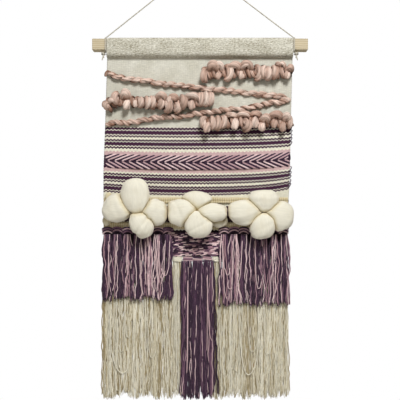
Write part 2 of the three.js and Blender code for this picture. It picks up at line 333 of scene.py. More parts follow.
def stripe_stops():
    """The colours down the striped part, as a ramp from its top to its bottom."""
    bands = [(top, bottom, DARK) for top, bottom in DARK_STRIPES]
    bands += [(top, bottom, PALE_PINK) for top, bottom in PINK_STRIPES]
    bands.append((*BAND_GROUND, DARK))
    stops = [(0.0, PALE)]
    span = (STRIPES_BOTTOM - STRIPES_TOP) / MM
    for top, bottom, colour in sorted(bands, key=lambda band: band[0]):
        stops.append(((top - STRIPES_TOP / MM) / span, colour))
        stops.append(((bottom - STRIPES_TOP / MM) / span, PALE))
    return stops


def cloth_material():
    """Weft-faced plain weave: beads of weft on each warp, half a bead apart on neighbouring warps."""
    made = Shader("woven_cloth", 0.92, 0.25, tone(255, 250, 240))
    weave = made.attribute("weave", "Vector")
    across = made.node("SeparateXYZ", {0: weave}, 0)
    up = made.node("SeparateXYZ", {0: weave}, 1)

    rib = made.maths("SINE", made.maths("MULTIPLY", across, math.pi / RIB))
    bead = made.maths("COSINE", made.maths("MULTIPLY", up, TAU / PICK))
    beads = made.maths("MULTIPLY", rib, bead)
    ribs = made.maths("ABSOLUTE", rib)
    side = made.maths("MINIMUM", made.maths("MAXIMUM", made.maths("MULTIPLY", rib, 1.6), -1.0), 1.0)
    ragged = made.noise(weave, (420, 420, 0), 2, 0.5)
    shifted = made.maths("MULTIPLY_ADD", side, 0.8 * MM, up)
    uneven = made.maths("MULTIPLY_ADD", ragged, 0.3 * MM, shifted)
    down = made.maths("SUBTRACT", -SEAM + 0.15 * MM, uneven)
    share = made.spread(down, STRIPES_TOP, STRIPES_BOTTOM)
    woven = made.ramp(share, stripe_stops(), "CONSTANT")

    # Above the stripes the weft is undyed.
    plain = made.noise(weave, (30, 30, 0), 3, 0.6)
    undyed = made.mix(made.spread(plain, 0.3, 0.7), tone(204, 201, 186), tone(222, 220, 208))
    above = made.spread(down, STRIPES_TOP - 0.2 * MM, STRIPES_TOP, 1, 0)
    below = made.spread(down, STRIPES_BOTTOM - 0.2 * MM, STRIPES_BOTTOM)
    colour = made.mix(above, woven, undyed)
    colour = made.mix(below, colour, PALE)
    # Painted shade behind the puffs and the upper fringe.
    for top, bottom, shade_tone in PAINTED_SHADE_PARTS:
        past_top = made.spread(down, top, top + PAINTED_SHADE_EDGE)
        before_bottom = made.spread(down, bottom, bottom + PAINTED_SHADE_EDGE, 1, 0)
        colour = made.mix(made.maths("MULTIPLY", past_top, before_bottom), colour, shade_tone)

    # The sleeve is the same cloth drawn tight, so that it looks greyer and more open.
    folded = made.spread(up, 0, 3 * MM)
    specks = made.noise(weave, (230, 560, 0), 3, 0.75)
    blotches = made.noise(weave, (26, 60, 0), 2, 0.5)
    uneven_specks = made.maths("MULTIPLY_ADD", blotches, 0.3, made.maths("SUBTRACT", specks, 0.15))
    speckled = made.ramp(uneven_specks, [
        (0.36, tone(134, 127, 106)), (0.45, tone(184, 179, 161)), (0.54, tone(208, 205, 191)),
        (0.64, tone(236, 234, 224)),
    ])
    colour = made.mix(made.maths("MULTIPLY", folded, 0.85), colour, speckled)

    picks = made.noise(weave, (110, 620, 0), 3, 0.65)
    # Painted shade: the weave is darker between its beads and ribs, and its picks also differ at random.
    depth = made.maths("MULTIPLY_ADD", beads, 0.06, made.maths("MULTIPLY_ADD", ribs, 0.03, 0.92))
    depth = made.maths("MULTIPLY", depth, made.spread(picks, 0.34, 0.66, 0.85, 1.08))
    made.colour(colour, depth)
    fluff = made.noise(weave, (2600, 2600, 2600), 2, 0.5)
    relief = made.maths("MULTIPLY_ADD", beads, 0.6, made.maths("MULTIPLY_ADD", ribs, 0.4, fluff))
    made.bump(relief, 0.45 * MM, 0.7)
    return made.material


# ---- Shapes ----


def wobble(t, rng, waves=3, slowest=1.0):
    """A smooth random curve over t, about 0 and mostly within 1."""
    total = 0
    for wave in range(1, waves + 1):
        total = total + rng.uniform(0.5, 1) / wave * np.sin(TAU * (slowest * wave * t + rng.random()))
    return total


def smooth(t, low, high):
    """0 below low, 1 above high, and an even S between."""
    share = np.clip((t - low) / (high - low), 0, 1)
    return share * share * (3 - 2 * share)


def distances(route):
    """How far along the route each of its points is."""
    return np.concatenate([[0], np.cumsum(np.linalg.norm(np.diff(route, axis=0), axis=1))])


def spline(points, count):
    """A smooth route of count points through the given ones, evenly spaced."""
    points = np.array(points, float)
    padded = np.vstack([2 * points[0] - points[1], points, 2 * points[-1] - points[-2]])
    dense = []
    for i in range(len(points) - 1):
        a, b, c, d = padded[i : i + 4]
        t = np.linspace(0, 1, 16, endpoint=False)[:, None]
        dense.append(0.5 * (2 * b + (c - a) * t + (2 * a - 5 * b + 4 * c - d) * t**2
                            + (3 * b - a - 3 * c + d) * t**3))
    dense = np.vstack(dense + [points[-1:]])
    reach = distances(dense)
    even = np.linspace(0, reach[-1], count)
    return np.column_stack([np.interp(even, reach, dense[:, k]) for k in range(points.shape[1])])


def directions(route):
    """Along a route, the way it runs and two ways across it that turn as little as they can."""
    way = np.gradient(route, axis=0)
    way /= np.maximum(np.linalg.norm(way, axis=1, keepdims=True), 1e-12)
    first = np.array([0.0, 1.0, 0.0])
    if abs(way[0] @ first) > 0.9:
        first = np.array([1.0, 0.0, 0.0])
    across = np.empty_like(route)
    for i, ahead in enumerate(way):
        first = first - (first @ ahead) * ahead
        first /= np.linalg.norm(first)
        across[i] = first
    return way, across, np.cross(way, across)


class Strands:
    """Many tubes in one mesh. Each point keeps its place on its straightened strand, for the fibres."""

    def __init__(self, seed):
        self.rng = np.random.default_rng(seed)
        self.points, self.quads, self.caps = [], [], []
        self.strand, self.tint, self.turn = [], [], []
        self.used = 0

    def add_rings(self, rings, straight, turn, tint):
        """rings and straight are rows of points, each row a closed ring; the ends are capped."""
        count, sides, _ = rings.shape
        index = self.used + np.arange(count * sides).reshape(count, sides)
        after = np.roll(index, -1, axis=1)
        self.quads.append(np.stack([index[:-1], after[:-1], after[1:], index[1:]], -1).reshape(-1, 4))
        middles = self.used + count * sides + np.arange(2)
        for ring, middle, turned in ((index[0], middles[0], -1), (index[-1], middles[1], 1)):
            fan = np.stack([ring, np.roll(ring, -1), np.full(sides, middle)], -1)
            self.caps.append(fan if turned > 0 else fan[:, ::-1])
        ends = np.stack([rings[0].mean(0), rings[-1].mean(0)])
        straight_ends = np.stack([straight[0].mean(0), straight[-1].mean(0)])
        self.points += [rings.reshape(-1, 3), ends]
        self.strand += [straight.reshape(-1, 3), straight_ends]
        self.turn += [turn.ravel(), np.zeros(2)]
        tint = np.broadcast_to(tint, (count, sides))
        self.tint += [tint.ravel(), [tint[0].mean(), tint[-1].mean()]]
        self.used += count * sides + 2

    def add(self, route, radius, tint, sides=7, flat=1.0, groove=0.0, taper=0.35):
        """A tube of this radius and tint, or those at each point, flat times as deep as it is wide. The tint
        is the yarn's own colour, and for some pieces painted shade too.
        """
        route = np.asarray(route, float)
        count = len(route)
        radius = np.broadcast_to(radius, count) * 1.0
        radius[0] *= taper
        radius[-1] *= taper
        _, deep, wide = directions(route)
        turn = TAU * np.arange(sides) / sides
        rounds = radius[:, None] * np.ones(sides)
        if groove:
            share = np.linspace(0, 1, count)[:, None]
            for wave in (3, 5, 8, 11):
                phase = TAU * self.rng.random() + self.rng.uniform(-1.5, 1.5) * share
                rounds *= 1 + groove / math.sqrt(wave) * np.sin(wave * turn[None, :] + phase)
        rings = (route[:, None, :]
                 + (rounds * np.cos(turn))[..., None] * deep[:, None, :] * flat
                 + (rounds * np.sin(turn))[..., None] * wide[:, None, :])
        reach = distances(route)
        straight = np.stack(np.broadcast_arrays(
            reach[:, None] + self.rng.uniform(0, 3), rounds * np.cos(turn), rounds * np.sin(turn)
        ), -1)
        tint = np.broadcast_to(tint, count)[:, None]
        self.add_rings(rings, straight, np.broadcast_to(turn, (count, sides)), tint)

    def piece(self, name, material):
        points = np.vstack(self.points)
        made = mesh_piece(name, points, self.quads + self.caps, material)
        add_attribute(made, "strand", "FLOAT_VECTOR", "vector", np.vstack(self.strand))
        # Each point's tint is its yarn's own colour, with painted shade and painted light added for the
        # loops, braids, puffs and ridges.
        add_attribute(made, "tint", "FLOAT", "value", np.concatenate(self.tint))
        add_attribute(made, "turn", "FLOAT", "value", np.concatenate(self.turn))
        return made


def mesh_piece(name, points, polygons, material):
    mesh = bpy.data.meshes.new(name)
    corners = np.concatenate([group.ravel() for group in polygons]).astype(np.int32)
    sizes = np.concatenate([np.full(len(group), group.shape[1]) for group in polygons])
    mesh.vertices.add(len(points))
    mesh.vertices.foreach_set("co", np.asarray(points, np.float32).ravel())
    mesh.loops.add(len(corners))
    mesh.loops.foreach_set("vertex_index", corners)
    mesh.polygons.add(len(sizes))
    starts = np.concatenate([[0], np.cumsum(sizes)[:-1]]).astype(np.int32)
    mesh.polygons.foreach_set("loop_start", starts)
    mesh.update(calc_edges=True)
    mesh.validate()
    mesh.shade_smooth()
    mesh.materials.append(material)
    return add_object(name, mesh)


def add_attribute(piece, name, kind, field, values):
    layer = piece.data.attributes.new(name, kind, "POINT")
    layer.data.foreach_set(field, np.asarray(values, np.float32).ravel())


def settle(piece, body, slot, *nodes):
    """The piece rides on its body and stands for these nodes, which are hidden. The slot is not used."""
    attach(piece, body)
    if nodes:
        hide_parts(*nodes)
    return piece


# ---- Cord, wraps and knots ----

CORD_ROUTE = [
    [-170.6, -129.5], [-140, -105.2], [-110, -81.3], [-80, -57.4], [-50, -33.5], [-20, -9.5],
    [-9, -0.8], [-3.05, 3.96], [-1.55, 4.75], [0, 5], [1.5, 4.77], [2.95, 4.03], [9, -0.5],
    [20, -8.9], [50, -31.7], [80, -54.4], [110, -77.2], [140, -100], [179.3, -129.5],
]
CORD_RADIUS = 1.1 * MM
CORD_PLIES = 3
CORD_PITCH = 7 * MM
CORD_STEP = 1.1 * MM  # between the rings of its plies


def add_plied(strands, route, radius, tint):
    """A cord of plies wound round a route of points."""
    length = distances(route)[-1]
    middle = spline(route, max(6, int(length / CORD_STEP)))
    _, deep, wide = directions(middle)
    reach = np.linspace(0, length, len(middle))
    for ply in range(CORD_PLIES):
        angle = TAU * (reach / CORD_PITCH + ply / CORD_PLIES)
        winding = np.cos(angle)[:, None] * deep + np.sin(angle)[:, None] * wide
        strands.add(middle + 0.5 * radius * winding, 0.56 * radius, tint, sides=6)


def add_cord(cotton):
    route = np.insert(mm(CORD_ROUTE), 1, 0, axis=1)
    strands = Strands(1)
    add_plied(strands, route, CORD_RADIUS, 0.5)
    cord = settle(strands.piece("cord_of_cotton", cotton), "cord", "cotton_cord", "hanging_cord")
    return cord, route


def add_tie(side, cotton):
    """The turn round the batten, and its knot with two short tails underneath."""
    low, high = box_of("cord_wrap_" + side)
    x = (low[0] + high[0]) / 2
    out = -1 if side == "left" else 1
    near = CORD_RADIUS
    turn = [
        [x, -2 * MM, high[2] - near], [x, low[1] + 3 * MM, high[2] - near],
        [x, low[1] + near, high[2] - 3 * MM], [x, low[1] + near, low[2] + 3 * MM],
        [x, low[1] + 3 * MM, low[2] + near], [x, high[1] - 3 * MM, low[2] + near],
        [x, high[1] - near, low[2] + 3 * MM], [x, high[1] - near, high[2] - 3 * MM],
        [x, high[1] - 3 * MM, high[2] - near], [x + 0.6 * MM, 0.5 * MM, high[2] - 0.6 * near],
    ]
    wrap = Strands(2)
    add_plied(wrap, np.array(turn), CORD_RADIUS, 0.55)

    knot_top = box_of("cord_knot_" + side)[1][2]
    at = np.array([x + 4.5 * out * MM, -4 * MM, knot_top - 3 * MM])
    knot = Strands(3)
    hitch = [[-3.4, 1, 2.2], [-1.5, -2.4, 1.4], [2.2, -2.2, 0.2], [3, 0.8, -1], [0.4, 2.2, -1.6],
             [-2.8, 0.6, -1.2], [-1.8, -2.3, -0.6], [1.6, -2.2, 1.6], [3.2, 0.4, 2]]
    add_plied(knot, at + mm(hitch) * [out, 1, 1], 1.25 * CORD_RADIUS, 0.6)
    for reach, drop, bend in ((2.2, 12.5, 1.0), (-0.6, 8.5, -0.6)):
        tail = [[0, 0, -1], [reach * 0.45, -1, -drop * 0.5], [reach + bend * 0.3, -0.5, -drop]]
        add_plied(knot, at + mm(tail) * [out, 1, 1], 0.95 * CORD_RADIUS, 0.65)
    return [
        settle(wrap.piece("cord_turn_" + side, cotton), "batten", "cotton_cord", "cord_wrap_" + side),
        settle(knot.piece("cord_hitch_" + side, cotton), "batten", "cotton_cord", "cord_knot_" + side),
    ]


# ---- Batten ----


def batten_outline(half):
    """The strip's section as [y, z] about its middle: four eased corners and the straights between."""
    eased = 1.4 * MM
    corners = []
    for quarter in range(4):
        angle = math.pi / 2 * quarter + math.pi / 8 * np.arange(5)
        centre = np.sign([math.cos(angle[2]), math.sin(angle[2])]) * (half - eased)
        corners.append(centre + eased * np.column_stack([np.cos(angle), np.sin(angle)]))
    outline = []
    for corner, following in zip(corners, corners[1:] + corners[:1]):
        outline += [corner, np.linspace(corner[-1], following[0], 8)[1:-1]]
    return np.vstack(outline)


def add_batten(pine):
    """A planed strip with eased edges and very slightly uneven faces."""
    rng = np.random.default_rng(4)
    middle = (BATTEN_HIGH + BATTEN_LOW) / 2
    outline = batten_outline((BATTEN_HIGH - BATTEN_LOW)[1:] / 2)
    left, right = BATTEN_LOW[0], BATTEN_HIGH[0]
    ends = mm([0, 0.3, 0.9, 1.6, 3])
    between = np.linspace(left + 6 * MM, right - 6 * MM, 110)
    x = np.concatenate([left + ends, between, right - ends[::-1]])
    inset = np.interp(np.minimum(x - left, right - x), ends, [0.965, 0.985, 0.996, 1, 1])
    share = (x - left) / (right - left)
    sway = np.stack([0.25 * MM * wobble(share, rng), 0.25 * MM * wobble(share, rng)], -1)
    rings = np.empty((len(x), len(outline), 3))
    rings[..., 0] = x[:, None]
    rings[..., 1:] = outline[None] * inset[:, None, None] + sway[:, None, :] + middle[1:]
    for inwards in (0.75, 0.4):  # rings across each end face
        first, last = (ring.mean(0) + (ring - ring.mean(0)) * inwards for ring in (rings[0], rings[-1]))
        rings = np.concatenate([first[None], rings, last[None]])
    strands = Strands(4)
    strands.add_rings(rings, rings, np.zeros(rings.shape[:2]), 0.5)
    settle(strands.piece("pine_batten", pine), "batten", "pine", "batten")


# ---- Cloth ----

CLOTH_RIBS = 104
CLOTH_WIDTH = CLOTH_RIBS * RIB
CLOTH_THICK = 2.3 * MM
BEADED_TO = 36 * MM  # above the seam, where the modelled beads of weft end


def edge_x(edge, z):
    """Where a side edge of the panel is at this height."""
    return np.interp(-z, -edge[:, 1], edge[:, 0])


def weft_drop(u, z):
    """How far the weft lies below level at u across the cloth, beaten down in the middle."""
    down = [230, 300, 335, 360, 390, 412, 440, 500]
    sag = np.interp(-z, mm(down), mm([0, 1.2, 2, 4.2, 5.2, 7.2, 7, 0]))
    rise = np.interp(-z, mm([230, 300, 360, 430, 500]), mm([0, 3.6, 3, 5.5, 0]))
    late = np.interp(-z, mm([300, 400]), [4, 12])
    return sag * 4 * u * (1 - u) - rise * u**late


def cloth_route():
    """The cloth's middle as [y, z], from its lower edge up, round the batten and down behind the seam."""
    around = BATTEN_HIGH[1] + 0.2 * MM + CLOTH_THICK / 2
    over = BATTEN_HIGH[2] + 0.2 * MM + CLOTH_THICK / 2
    under = BATTEN_LOW[2]
    corners = [
        [0, PANEL_LOW[2]], [0, SEAM - 6 * MM], [0, SEAM], [-5 * MM, SEAM + 1.6 * MM],
        [-around + 1.6 * MM, SEAM + 4.5 * MM], [-around, under - 3 * MM], [-around, over - 3 * MM],
        [-around + 3 * MM, over], [around - 3 * MM, over], [around, over - 3 * MM],
        [around, under + 4 * MM], [around, under - 1 * MM], [4 * MM, SEAM + 2.5 * MM],
        [2.9 * MM, SEAM - 3 * MM], [2.9 * MM, SEAM - 15 * MM],
    ]
    route = np.array(corners)
    for _ in range(3):  # cut the corners
        cut = np.empty((2 * len(route) - 2, 2))
        cut[0::2] = 0.75 * route[:-1] + 0.25 * route[1:]
        cut[1::2] = 0.25 * route[:-1] + 0.75 * route[1:]
        route = np.vstack([route[:1], cut, route[-1:]])
    return route


def zip_rims(first, first_share, second, second_share):
    """Triangles between two closed rims of points that start at the same corner."""
    faces = []
    i = j = 0
    while i < len(first) or j < len(second):
        a, b = first[i % len(first)], second[j % len(second)]
        if j == len(second) or (i < len(first) and first_share[i + 1] <= second_share[j + 1]):
            faces.append((a, b, first[(i + 1) % len(first)]))
            i += 1
        else:
            faces.append((a, b, second[(j + 1) % len(second)]))
            j += 1
    return np.array(faces)


def quads(index):
    """The faces of a grid of point numbers."""
    return np.stack([index[:-1, :-1], index[:-1, 1:], index[1:, 1:], index[1:, :-1]], -1).reshape(-1, 4)


def rim(index):
    """The outer points of a grid, once round from its first corner, and how far round each is."""
    sides = [index[0, :-1], index[:-1, -1], index[-1, :0:-1], index[:0:-1, 0]]
    share = [side_number + np.arange(len(side)) / len(side) for side_number, side in enumerate(sides)]
    return np.concatenate(sides), np.concatenate(share + [[4.0]])


def add_cloth(woven):
    route = cloth_route()
    reach = distances(route)
    reach -= np.interp(SEAM, route[: len(route) // 3, 1], reach[: len(route) // 3])
    way = np.gradient(route, axis=0)
    way /= np.linalg.norm(way, axis=1, keepdims=True)
    out = np.column_stack([-way[:, 1], way[:, 0]])  # towards the front on the panel

    fine = np.arange(reach[0], BEADED_TO, PICK / 2)
    rows = np.concatenate([fine, np.arange(fine[-1] + PICK, reach[-1], PICK), reach[-1:]])

    def side(up, u, beads):
        """One face of the cloth: its front, where beads is above 0, or its back. beads scales the relief."""
        y = np.interp(up, reach, route[:, 0])[:, None]
        z = np.interp(up, reach, route[:, 1])[:, None]
        out_y = np.interp(up, reach, out[:, 0])[:, None]
        out_z = np.interp(up, reach, out[:, 1])[:, None]
        u = u[None, :]
        panel = up[:, None] < 0
        drop = np.where(panel, weft_drop(u, z), 0)
        left = edge_x(LEFT_EDGE, np.minimum(z, SEAM))
        right = edge_x(RIGHT_EDGE, np.minimum(z, SEAM))
        ragged = 0.35 * MM * np.sin(TAU * up[:, None] / (2 * PICK))
        edge = (u - 0.5) * 2
        x = left + (right - left) * u + ragged * edge**15
        rib = np.sin(math.pi * u * CLOTH_RIBS)
        bead = np.cos(TAU * up[:, None] / PICK)
        fine_rows = smooth(-up[:, None], -BEADED_TO, -BEADED_TO + 2 * MM)
        relief = 0.32 * rib * bead * fine_rows + 0.24 * np.abs(rib) - 0.12
        waves = 0.9 * np.sin(5.3 * u + 9 * up[:, None] + 1) + 0.5 * np.sin(13 * u - 21 * up[:, None])
        buckle = MM * waves * smooth(-up[:, None], 0, 50 * MM)
        thick = CLOTH_THICK / 2 * (1 - 0.75 * np.abs(edge) ** 60)
        away = np.sign(beads) * thick + beads * relief * MM
        return np.stack(np.broadcast_arrays(x, y + out_y * away + buckle, z - drop + out_z * away), -1)

    front_u = np.linspace(0, 1, 2 * CLOTH_RIBS + 1)
    back_u = front_u[::2] * 0.9988 + 0.0006
    back_rows = np.concatenate([rows[:-1:3], rows[-1:]])
    front = side(rows, front_u, 1.0)
    back = side(back_rows, back_u, -0.6)
    faces_of = [np.broadcast_arrays(u[None, :] * CLOTH_WIDTH, up[:, None])
                for u, up in ((front_u, rows), (back_u, back_rows))]
    weave = np.vstack([np.column_stack([a.ravel(), b.ravel(), np.zeros(a.size)]) for a, b in faces_of])

    near = np.arange(front[..., 0].size).reshape(front.shape[:2])
    far = near.size + np.arange(back[..., 0].size).reshape(back.shape[:2])
    edges = zip_rims(*rim(near), *rim(far))
    points = np.vstack([front.reshape(-1, 3), back.reshape(-1, 3)])
    cloth = mesh_piece("cloth", points, [quads(near), quads(far)[:, ::-1], edges], woven)
    add_attribute(cloth, "weave", "FLOAT_VECTOR", "vector", weave)
    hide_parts("rod_sleeve", "woven_panel")
    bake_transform(cloth)
    return cloth, reach[-1] - reach[0]


# ---- Work laid on the cloth's face ----

STITCH_STEP = 6.6 * MM  # along the band, from a dark stitch to the next pink one
BAND_MIDDLE = -359 * MM
# Each row of stitches: up or down from the middle, how far a stitch reaches along and across the band.
BAND_ROWS = [(1, 29.5 * MM, 12.6 * MM), (-1, 27.2 * MM, 13.6 * MM)]
BAND_LEAD = 28 * MM  # the last stitches start this far left of the band, and what lies inside it is kept


def add_herringbone(material):
    """Two rows of slanting wrapped stitches, with dark wedges where they meet in the middle."""
    strands = Strands(6)
    rng = strands.rng
    left, right = BAND_LOW[0], BAND_HIGH[0]

    def middle_at(x):
        u = np.clip((x - left) / (right - left), 0, 1)
        return BAND_MIDDLE - weft_drop(u, BAND_MIDDLE)

    count = int((right - left + BAND_LEAD) / STITCH_STEP) + 1
    for way, along, across in BAND_ROWS:
        for i in range(count):
            t = np.linspace(0, 1, 14)
            x = right + STITCH_STEP * (0.5 - i) + along * t + rng.normal(0, 0.25 * MM)
            keep = (x > left - 0.5 * MM) & (x < right + 0.5 * MM)
            if keep.sum() < 4:
                continue
            z = middle_at(x) + way * (0.3 * MM + across * t)
            y = FACE - 0.2 * MM - 1.9 * MM * np.sin(math.pi * np.clip(t, 0.08, 0.92)) ** 0.6
            route = np.column_stack([x, y, z])[keep] + rng.normal(0, 0.1 * MM, (1, 3))
            pink = i % 2 == 0
            tint = rng.uniform(0.72, 1.0) if pink else rng.uniform(0.0, 0.15)
            thick = 1.4 if pink else 1.2
            swollen = 0.35 * (way < 0) * (not pink) * smooth(t, 0.8, 0.95)  # dark ends of the lower row
            strands.add(route, (thick * (1 + swollen) * MM)[keep], tint, sides=8, flat=0.9)
            if pink or way < 0:
                continue
            wedge = np.linspace(-0.5, 0.5, 7)
            x = right + STITCH_STEP * (0.5 - i) + 1.5 * MM + wedge * 8.5 * MM
            if left < x[0] and x[-1] < right:
                shape = np.column_stack([x, FACE - 2.2 * MM + 4 * MM * wedge**2, middle_at(x)])
                strands.add(shape, (1.7 - 2 * wedge) * 0.9 * MM, 0.0, sides=8, flat=0.7)
    x = np.linspace(left, right, 120)
    line = np.column_stack([x, np.full_like(x, FACE - 0.7 * MM), middle_at(x)])
    strands.add(line, 1.2 * MM, 0.02, sides=8)
    for k in range(3):  # the turn at the right-hand end
        route = [[168.5 + k * 1.5, -0.5, -360], [170.3 + k, -3.4, -354.5], [168.6 + k * 1.4, -2.4, -346.5]]
        strands.add(spline(mm(route), 9), 1.3 * MM, 0.03, sides=7)
    return strands.piece("herringbone_stitches", material)


# The braids' middles as [x, z].
BRAID_ROUTES = {
    "upper": [
        [-167, -198.5], [-153.6, -202.2], [-129.4, -207.8], [-93.1, -211.5], [-68.5, -217.1],
        [-41.9, -219], [-11.2, -222.7], [13.9, -225.9], [43.7, -228.3], [70.7, -231.3],
        [103.2, -235.4], [136.7, -238.2], [155.3, -240.8], [173.5, -247],
    ],
    "lower": [
        [-171.5, -291.6], [-148, -288.6], [-129.4, -289.1], [-112.6, -287.3], [-90.3, -283.2],
        [-68, -279.1], [-43.8, -277.8], [-27, -277.6], [-8.4, -273.5], [26.9, -270], [49.3, -265.5],
        [75.3, -264], [107, -258.6], [133, -253], [155.3, -249.9], [173, -247.8],
    ],
}
LOBE = 19 * MM  # of one ply of a braid, from crest to crest
LOCKS = 3


def add_roving(strands, path, thick, tint, turns=0.4, sides=12, shade_depth=15 * MM):
    """A thick roving as a few locks of fibre side by side, with painted shade that makes them darker the
    nearer they lie to the cloth.
    """
    rng = strands.rng
    _, deep, wide = directions(path)
    thick = np.broadcast_to(thick, len(path))
    start = rng.random()
    for lock in range(LOCKS):
        angle = TAU * (np.linspace(0, turns, len(path)) + lock / LOCKS + start)
        away = np.cos(angle)[:, None] * deep + np.sin(angle)[:, None] * wide
        middle = path + 0.42 * thick[:, None] * away
        # Painted shade near the cloth, and a random difference in tint from lock to lock.
        shaded = 0.4 * (1 - smooth(FACE - middle[:, 1], 0, shade_depth))
        shade = tint - shaded + rng.uniform(-0.08, 0.25)
        strands.add(middle, thick * rng.uniform(0.54, 0.68), shade,
                    sides=sides, groove=0.07, taper=0.55)


def add_braid(name, way, material, seed):
    """Thick roving wound in pairs, so that it shows as a chain of slanting swellings."""
    strands = Strands(seed)
    rng = strands.rng
    route = np.insert(mm(BRAID_ROUTES[name]), 1, FACE - 2.9 * MM, axis=1)
    middle = spline(route, 420)
    reach = distances(middle)
    share = reach / reach[-1]
    uneven = reach + 3.6 * MM * wobble(share, rng, 6, 4)
    fade = np.minimum(1, np.minimum(share, 1 - share) / 0.035 + 0.35)
    for ply in range(2):
        angle = math.pi * (uneven / LOBE + ply)
        front = 0.5 + 0.5 * np.cos(angle)
        offset = np.column_stack([np.zeros_like(reach), -1.9 * MM * np.cos(angle),
                                  way * 2.5 * MM * np.sin(angle)])
        thick = (2.3 + 2.5 * front) * MM * (1 + 0.13 * wobble(share, rng, 6, 6)) * fade
        # Painted shade: each ply is darker where it passes behind the other, with a little random change.
        tint = 0.12 + 0.55 * front**0.8 + 0.08 * wobble(share, rng, 5, 5)
        path = middle + offset * fade[:, None]
        add_roving(strands, path, thick, tint, turns=9, shade_depth=3.5 * MM)
    if name == "upper":
        curl = mm([[-158, -4, -201], [-163, -5.5, -195.5], [-167, -5, -194], [-170.5, -4, -198],
                   [-171, -3, -203]])
        add_roving(strands, spline(curl, 24), 2.7 * MM, 0.6, sides=8)
    return strands.piece("roving_braid_" + name, material)


# Loops of roving as (shape, x, z, half width, half height), seen from the front. A hook bulges to the
# right, a cup to the left, an arch upwards, and a drop hangs its end forwards. A thin one is an arch of
# finer roving.
LOOPS = {
    "upper": [
        ("cup", 15, -203, 8.3, 13), ("arch", 29, -189, 11, 11), ("drop", 38, -204, 7, 8),
        ("arch", 40, -190, 9, 11), ("hook", 54, -198, 11, 15), ("arch", 68, -189, 12.5, 9.5),
        ("drop", 81, -203.5, 7, 9), ("arch", 91, -189.5, 11.5, 11.5), ("hook", 109, -197.5, 10.5, 14),
        ("cup", 124, -197, 7, 12), ("hook", 129, -199, 7.5, 13), ("hook", 141, -197.5, 8.5, 12.5),
        ("thin", 149, -193, 7, 13), ("thin", 156, -194, 8, 14), ("drop", 166, -201, 6.5, 11),
        ("arch", 171, -193, 6.5, 8),
    ],
    "middle": [
        ("cup", -164, -258, 9, 8), ("arch", -156, -252, 9, 8), ("cup", -149, -244, 9, 12),
        ("arch", -133, -242, 9.5, 11), ("drop", -131, -258, 9.5, 11), ("drop", -115, -256, 5, 8),
        ("hook", -107, -252.5, 8, 10.5), ("hook", -94, -252.5, 7.5, 11), ("hook", -83.5, -251.5, 7, 11),
        ("arch", -67, -246, 11, 11), ("hook", -70, -254, 8, 10), ("hook", -57, -261, 10, 12),
        ("arch", -45, -248, 10, 9.5), ("cup", -49, -250, 7, 9), ("hook", -40, -263, 9.5, 9.5),
        ("hook", -29, -252, 9, 12.5), ("drop", -11, -257, 9.5, 11.5), ("arch", -10, -245, 13, 9),
        ("hook", 5, -247, 7, 13), ("hook", 14, -246.5, 7, 13), ("hook", 23, -246, 7.5, 12.5),
    ],
    "lower": [
        ("cup", 13, -289, 8.5, 11), ("drop", 17, -301, 8.5, 10.5), ("hook", 26, -290, 7, 11.5),
        ("hook", 36, -291, 7.5, 13), ("hook", 47, -288.5, 7.5, 12), ("thin", 57, -279.5, 8, 7),
        ("arch", 63, -279, 11, 7), ("drop", 69, -294, 11, 12), ("arch", 85, -278.5, 13, 8.5),
        ("hook", 87, -295, 10.5, 11.5), ("arch", 107, -277.5, 11.5, 8), ("drop", 105, -291, 8, 12.5),
        ("drop", 119, -298, 7.5, 11), ("arch", 125, -286, 9.5, 10), ("drop", 142, -291, 6.5, 11.5),
        ("arch", 144, -280, 13, 10), ("drop", 157, -297.5, 10.5, 12), ("arch", 164, -284, 8, 11),
        ("hook", 169, -288, 6, 12),
    ],
}
# Where round its middle each shape starts and stops, in degrees.
LOOP_TURNS = {"hook": (112, -112), "cup": (70, 290), "arch": (205, -25), "thin": (150, 10)}
LOOP_FULLNESS = 1.2  # the loops press on each other, so each is this much larger than what shows of it
THIN_LOOP = 3.4  # the radius of a thin loop's roving, in mm
# The roving coils behind the loops along these lines, as [x, z], and joins them.
COILS = {
    "upper": [[14, -197], [60, -196], [110, -196], [172, -196]],
    "middle": [[-170, -262], [-152, -251], [-130, -249], [-95, -253], [-50, -254], [-10, -249], [24, -246]],
    "lower": [[12, -291], [50, -289], [100, -287], [172, -287]],
}
COIL_RADIUS, COIL_PITCH, COIL_THICK = 8 * MM, 9 * MM, 4.3 * MM


def add_coil(strands, name):
    """The roving wound along its row, so that its turns show as slanting curls between the loops."""
    rng = strands.rng
    along = np.array(mm(COILS[name]))
    turns = distances(along)[-1] / COIL_PITCH
    middle = spline(along, int(turns * 22))
    share = np.linspace(0, 1, len(middle))
    angle = TAU * (turns * share + 0.12 * wobble(share, rng, 5, 4))
    radius = COIL_RADIUS * (1 + 0.16 * wobble(share, rng, 5, 5))
    path = np.column_stack([
        middle[:, 0] - 2.5 * MM * np.cos(angle) - 4 * MM * np.sin(angle),
        FACE - 6.6 * MM - 2.6 * MM * np.cos(angle),
        middle[:, 1] + radius * np.sin(angle),
    ])
    thick = COIL_THICK * (1 + 0.1 * wobble(share, rng, 6, 6))
    # Painted shade: the coil is darker where it turns back towards the cloth.
    tint = 0.16 + 0.3 * np.cos(angle) + 0.1 * wobble(share, rng, 4, 7)
    add_roving(strands, path, thick, tint, turns=turns / 2, sides=10)


